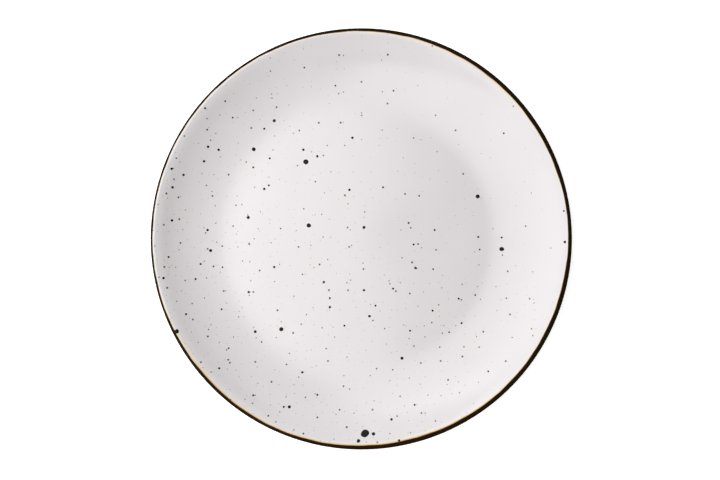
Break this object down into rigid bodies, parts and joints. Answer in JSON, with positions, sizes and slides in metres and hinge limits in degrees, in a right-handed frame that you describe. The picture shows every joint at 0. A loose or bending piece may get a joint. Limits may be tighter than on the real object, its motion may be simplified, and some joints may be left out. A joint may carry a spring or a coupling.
{
  "type": "dessert plate",
  "caption": "Round coupe dessert plate with a crowned well, a curved wall, a foot ring, white speckled glaze and a dark hand-banded lip.",
  "frame": {"origin": "centre of the foot ring on the plane that the plate stands on, below the middle of the plate", "axes": "+Z up, out of the eating face, along the plate's axis; seen from above, +X is to the right and +Y is up in the picture"},
  "size_m": [0.2, 0.2, 0.021],
  "materials": {
    "stoneware": "bare fired clay, matt",
    "white_glaze": "glossy white glaze with dark iron specks",
    "band_glaze": "satin black-brown glaze that breaks to amber at its thin edge"
  },
  "bodies": {
    "root": {"stoneware_body": "stoneware", "face_glaze": "white_glaze", "back_glaze": "white_glaze", "base_glaze": "white_glaze", "rim_band": "band_glaze"}
  },
  "joints": []
}
